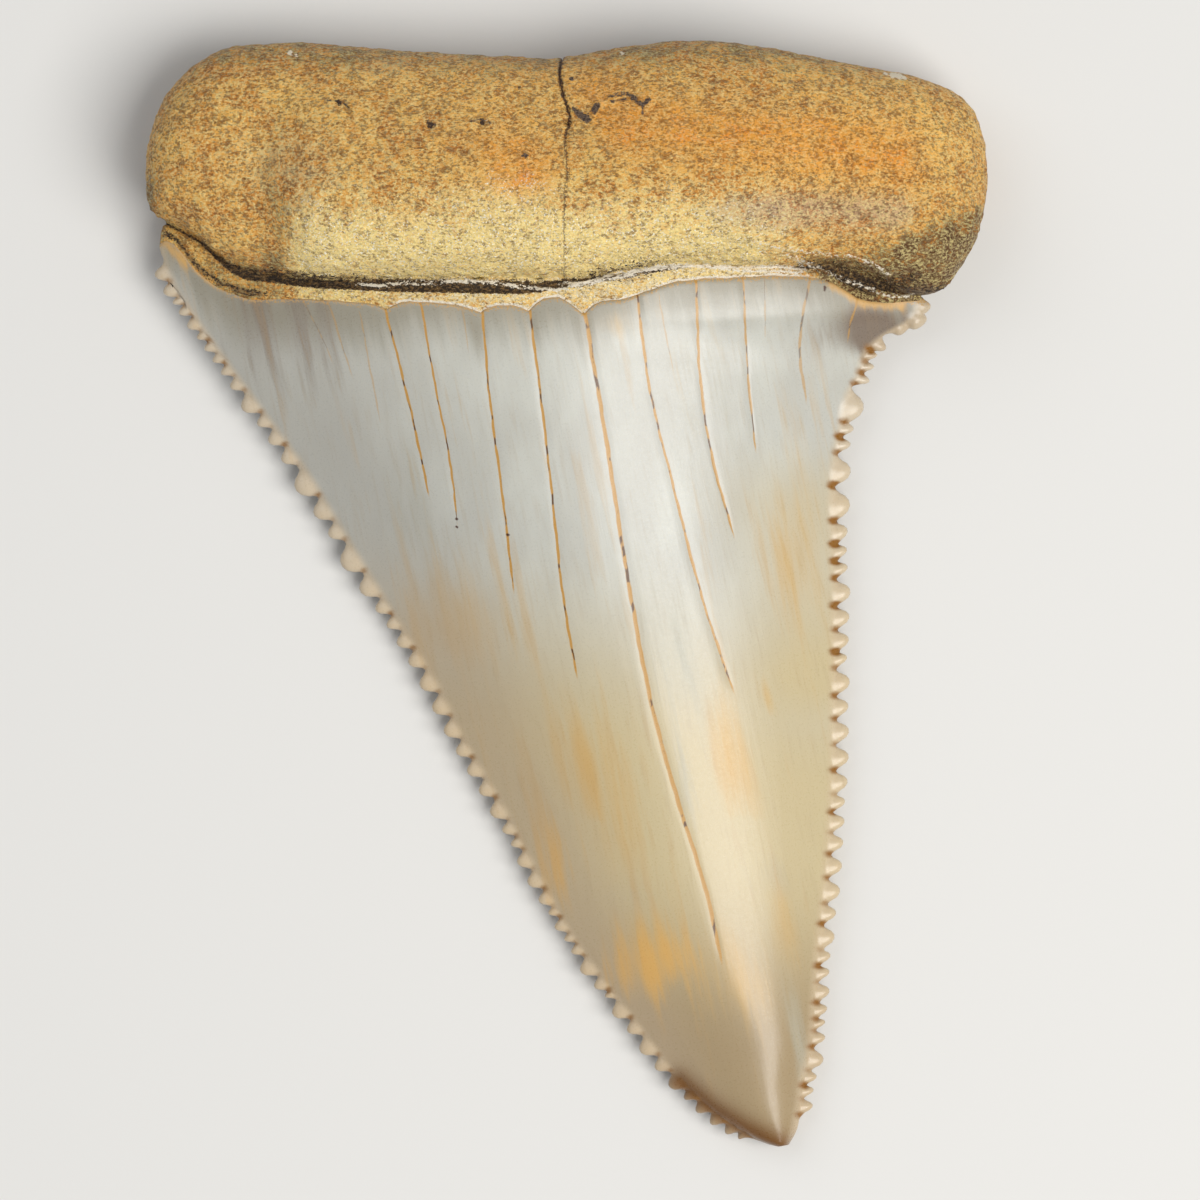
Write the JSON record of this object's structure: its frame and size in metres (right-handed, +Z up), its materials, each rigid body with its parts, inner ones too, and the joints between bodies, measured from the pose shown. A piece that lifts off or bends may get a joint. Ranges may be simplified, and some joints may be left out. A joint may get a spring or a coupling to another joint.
{
  "type": "fossil shark tooth",
  "caption": "Fossil great white shark tooth lying on its flat outer face, with a thick root, a convex triangular enamel blade and serrated cutting edges.",
  "frame": {"origin": "middle of the tooth's outline seen from above, on the plane that it rests on", "axes": "+X across the root, to the side of the steeper cutting edge; +Y from the blade's tip towards the root; +Z up, out of the convex inner face"},
  "size_m": [0.0494, 0.065, 0.0118],
  "materials": {
    "tooth": "glossy grey to cream enamel crown with ochre cracks, grainy matt ochre-brown root"
  },
  "bodies": {
    "root": {"shark_tooth": "tooth"}
  },
  "joints": []
}
